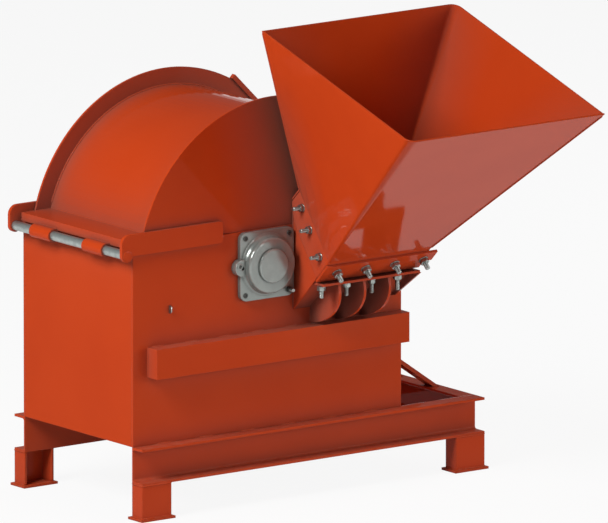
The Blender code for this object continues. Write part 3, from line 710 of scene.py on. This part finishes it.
def black_oxide(name):
    """Blackened screw steel, dull in its sockets and rubbed grey on its rims."""
    material, tree, out = new_material(name)
    rounded, edge = edges_for_wear_and_highlight(tree, 0.0012)
    blotch = noise(tree, 140.0, 3.0, 0.6)
    colour = blend_colours(tree, blotch, (0.035, 0.037, 0.034, 1.0), (0.070, 0.072, 0.066, 1.0))
    colour = blend_colours(tree, edge * 0.7, colour, (0.24, 0.24, 0.23, 1.0))
    shade(
        tree,
        out,
        {"Base Color": colour, "Roughness": 0.30 + blotch * 0.15, "Normal": rounded},
        {"Metallic": 0.5},
    )
    return material


screw_black = black_oxide("screw_black")
fillet_reach = 0.014
stud_flats = 0.024
stud_hole = 0.007
stud_nut_height = 0.011
stud_radius = 0.0085
stud_end = 0.031
socket_flats = 0.0104
stud_corner = (1, -1)
lug_hole_x = shaft_x - 0.143
lug_hole_z = shaft_z + 0.008

for side, wall_y, way in (("near", 0.0, near), ("far", box_width, -near)):
    place = standing(at(shaft_x, wall_y, shaft_z), way)
    shape = bmesh.new()
    fillet = [(boss_radius - 0.001, flange_out - 0.003), (boss_radius + fillet_reach, flange_out - 0.003)]
    for step in range(7):
        angle = math.pi / 2 * step / 6
        reach = boss_radius + fillet_reach * (1.0 - math.sin(angle))
        fillet.append((reach + 0.0002, flange_out + 0.0004 + fillet_reach * (1.0 - math.cos(angle))))
    fillet.append((boss_radius - 0.001, flange_out + 0.0004 + fillet_reach))
    join_rings(shape, turned_rings(place, fillet, 96), closed=True)
    new_piece(f"{side}_boss_fillet", shape, bearing_grey, "machine", 40.0)

    screws = bmesh.new()
    studs = bmesh.new()
    for x_way in (-1, 1):
        for z_way in (-1, 1):
            foot = at(shaft_x + x_way * corner_bolt_x, wall_y, shaft_z + z_way * corner_bolt_z)
            place = standing(foot + way * flange_out, way)
            if (x_way, z_way) == stud_corner:
                hexagon_nut(screws, place, stud_flats, stud_hole, 0.0002, stud_nut_height)
                threaded_stud(studs, place, stud_radius, 0.001, stud_end)
            else:
                head = turned_rings(place, [(0.0102, 0.0002), (0.0105, 0.0020), (0.0090, 0.0034)], 36)
                socket = [hexagon_ring(place, socket_flats, height, 36) for height in (0.0036, 0.0008)]
                join_rings(screws, head + socket, capped=True)
    new_piece(f"{side}_bearing_screws", screws, screw_black, "machine")
    new_piece(f"{side}_bearing_stud", studs, bolt_zinc, "machine")

    shape = bmesh.new()
    place = standing(at(lug_hole_x, wall_y, lug_hole_z) + way * lug_out, way)
    rim = [(0.0065, -0.001), (0.0130, -0.001), (0.0130, 0.0020), (0.0115, 0.0032), (0.0080, 0.0032)]
    join_rings(shape, turned_rings(place, rim, 40), closed=True)
    new_piece(f"{side}_grease_hole_rim", shape, bearing_grey, "machine")
    shape = bmesh.new()
    plug = [(0.0070, 0.0002), (0.0068, 0.0010), (0.0030, 0.0006)]
    join_rings(shape, turned_rings(place, plug, 24), capped=True)
    new_piece(f"{side}_grease_plug", shape, screw_black, "machine")


# Rotor: a turned shaft that carries a cut steel disc with welded paddles, all unpainted.
# Shredded fibre has polished the paddles and left a brown film on the disc.
def rotor_metal(name):
    """Bare plate: bright worn edges, and a brown film in broad patches."""
    material, tree, out = new_material(name)
    brown_tint = steps(noise(tree, 7.0, 5.0, 0.65), (0.36, 0.0), (0.64, 1.0))
    rounded, edge = edges_for_wear_and_highlight(tree, 0.003)
    colour = blend_colours(tree, brown_tint, (0.30, 0.29, 0.27, 1.0), (0.105, 0.062, 0.040, 1.0))
    colour = blend_colours(tree, edge * 0.8, colour, (0.46, 0.45, 0.43, 1.0))
    roughness = 0.32 + brown_tint * 0.30
    normal = bumped(tree, noise(tree, 120.0, 4.0, 0.6), 0.20, 0.0008, rounded)
    varying = {"Base Color": colour, "Roughness": roughness, "Metallic": 1.0 - brown_tint * 0.7, "Normal": normal}
    shade(tree, out, varying, {})
    return material


dress(["rotor_disc"], rotor_metal("rotor_metal"))
shaft_steel = drawn_steel("shaft_steel", (0.42, 0.42, 0.41, 1.0), (0.16, 0.13, 0.11, 1.0), (4.0, 40.0, 4.0))
dress(["rotor_shaft"], shaft_steel)


# Feed chute: two cheeks, a floor and a roof of 8 mm plate, welded into the side plate's slot.
# A bolted ledge with an upper leg hangs under the floor, carried by ribs and by an end gusset.
# Nuts stand in a row on the ledge and on both cheeks.
chute_left = 0.786
chute_right = 1.298
cheek_paint = orange_enamel("cheek_enamel", 0.05, 0.003, brown_tint=0.35, gloss=0.05)
# The chute's paint has strong painted shade, which darkens its rib pockets.
chute_paint = orange_enamel("chute_enamel", 0.05, 0.003, brown_tint=1.2, grime_and_shade_reach=0.13, grime_and_shade_depth=0.95)
dress(["chute_left_cheek", "chute_right_cheek"], cheek_paint)
dress(["chute_floor", "chute_roof"], chute_paint)

ledge_nut_y = -0.172
ledge_low_z = 0.586
ledge_nuts_x = (0.806, 0.930, 1.056, 1.184)
ledge_nut_flats = 0.030
ledge_stud_radius = 0.0095
down = Vector((0.0, 0.0, -1.0))
shape = bmesh.new()
for number, x in enumerate(ledge_nuts_x):
    tail = 0.031 + 0.004 * number
    foot = at(x, ledge_nut_y, ledge_low_z)
    nut_on_stud(shape, foot, down, ledge_nut_flats, ledge_stud_radius, tail, 0.4 * number)
new_piece("ledge_nuts", shape, bolt_zinc, "machine")

neck_bolts = ((-0.072, 0.8916), (-0.1224, 0.8100), (-0.1896, 0.7108))
neck_nut_flats = 0.027
neck_stud_radius = 0.0085
neck_stud_tail = 0.032
leftward = Vector((-1.0, 0.0, 0.0))
shape = bmesh.new()
for wall_x, way in ((chute_left, leftward), (chute_right, -leftward)):
    for number, (y, z) in enumerate(neck_bolts):
        foot = at(wall_x, y, z)
        nut_on_stud(shape, foot, way, neck_nut_flats, neck_stud_radius, neck_stud_tail, 0.5 * number)
new_piece("neck_side_nuts", shape, bolt_zinc, "machine")

mouth_low = Vector((0.0, -0.248, 0.696))
chute_way = Vector((0.0, 0.248, -0.240)).normalized()
chute_down = Vector((0.0, chute_way.z, -chute_way.y))
leg_corners = ((0.0815, 0.0004), (0.126, 0.0004), (0.126, 0.010), (0.0815, 0.010))
leg_outline = []
for reach, depth in leg_corners:
    corner = mouth_low + chute_way * reach + chute_down * depth
    leg_outline.append((corner.y, corner.z))
upper_leg_left = 0.7865
upper_leg_right = 1.2975
shape = bmesh.new()
plate(shape, leg_outline, upper_leg_left, upper_leg_right)
new_piece("ledge_upper_leg", shape, cheek_paint, "machine")

gusset_outline = [(-0.190, 0.5855), (-0.0005, 0.5855), (-0.0005, 0.462), (-0.020, 0.466)]
gusset_left = 1.2835
gusset_right = 1.2915
shape = bmesh.new()
plate(shape, gusset_outline, gusset_left, gusset_right)
new_piece("ledge_end_gusset", shape, chute_paint, "machine")

rib_places = (0.884, 1.008, 1.132)
rib_half = 0.006
rib_bead = 0.0035
rib_weld_low = 0.405
rib_weld_high = 0.455
cheek_bead = 0.004
cheek_weld_low = 0.470
cheek_weld_high = 0.905
cheek_setback = 0.0063
shape = bmesh.new()
for x in rib_places:
    for side in (-rib_half, rib_half):
        ends = [at(x + side, -0.001, height) for height in (rib_weld_low, rib_weld_high)]
        weld_bead(shape, ends, rib_bead)
for x in (chute_left + cheek_setback, chute_right - cheek_setback):
    ends = [at(x, -0.001, height) for height in (cheek_weld_low, cheek_weld_high)]
    weld_bead(shape, ends, cheek_bead)
new_piece("chute_weld_beads", shape, chute_paint, "machine", 60.0)


# Hopper: two bent sheets of 6 mm steel welded at two corners, lapped over the chute's mouth.
# A flat clamp bar with four nuts holds the neck to the chute's floor.
hopper_paint = orange_enamel("hopper_enamel", 0.07, 0.004)
dress(["hopper_left_near_sheet", "hopper_far_right_sheet"], hopper_paint)
dress(["hopper_clamp_bar"], cheek_paint)

mouth_high = Vector((0.0, -0.048, 0.964))
rim_near = Vector((0.0, -1.092, 1.348))
rim_far = Vector((0.0, -0.108, 1.644))
hopper_left = 0.558
hopper_right = 1.526
clamp_nut_reach = 0.066
clamp_thickness = 0.0103
clamp_nuts_x = (0.856, 0.999, 1.144, 1.287)
clamp_nut_flats = 0.034
clamp_stud_radius = 0.0105
clamp_stud_tail = 0.028
hopper_bead = 0.004

shape = bmesh.new()
for number, x in enumerate(clamp_nuts_x):
    foot = mouth_low + chute_way * clamp_nut_reach + chute_down * clamp_thickness
    foot = at(x, foot.y, foot.z)
    turn = 0.35 * number
    nut_on_stud(shape, foot, chute_down, clamp_nut_flats, clamp_stud_radius, clamp_stud_tail, turn)
new_piece("clamp_nuts", shape, bolt_zinc, "machine")

shape = bmesh.new()
for rim, rim_x, mouth, mouth_x in (
    (rim_near, hopper_right, mouth_low, chute_right),
    (rim_far, hopper_left, mouth_high, chute_left),
):
    upper = at(rim_x, rim.y, rim.z)
    lower = at(mouth_x, mouth.y, mouth.z)
    inset = Vector((0.0015 if rim_x < 1.0 else -0.0015, 0.0, 0.0))
    weld_bead(shape, [upper.lerp(lower, 0.012) + inset, lower + inset], hopper_bead)
new_piece("hopper_weld_beads", shape, hopper_paint, "machine", 60.0)


# Cover: a rolled shell between two round side plates, hinged at the left on a folded strip.
# The shell is set in from the plates' edge and welded to them along the whole curve.
cover_centre_x = 0.700
cover_centre_z = 0.674
shell_radius = 0.600
strip_top = 0.840
shell_near = 0.0155
shell_far = box_width - shell_near
shell_bead = 0.0045
strip_bead = 0.004
# The cover's paint has strong painted shade in its sheltered places.
cover_paint = orange_enamel("cover_enamel", 0.12, 0.003, brown_tint=1.1, gloss=0.035)
cover_names = ["near_plate", "far_plate", "near_rim_bar", "far_rim_bar", "shell", "back_sheet", "hinge_strip"]
dress(["cover_" + name for name in cover_names], cover_paint)

shape = bmesh.new()
for y in (shell_near, shell_far):
    path = []
    for angle in range(162, 44, -3):
        reach = shell_radius + 0.001
        x = cover_centre_x + reach * math.cos(math.radians(angle))
        z = cover_centre_z + reach * math.sin(math.radians(angle))
        path.append(at(x, y, z))
    weld_bead(shape, path, shell_bead)
foot_x = cover_centre_x - math.sqrt(shell_radius**2 - (strip_top - cover_centre_z) ** 2)
weld_bead(shape, [at(foot_x, y, strip_top) for y in (shell_near, shell_far)], strip_bead)
new_piece("cover_weld_beads", shape, cover_paint, "cover", 60.0)


low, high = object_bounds()
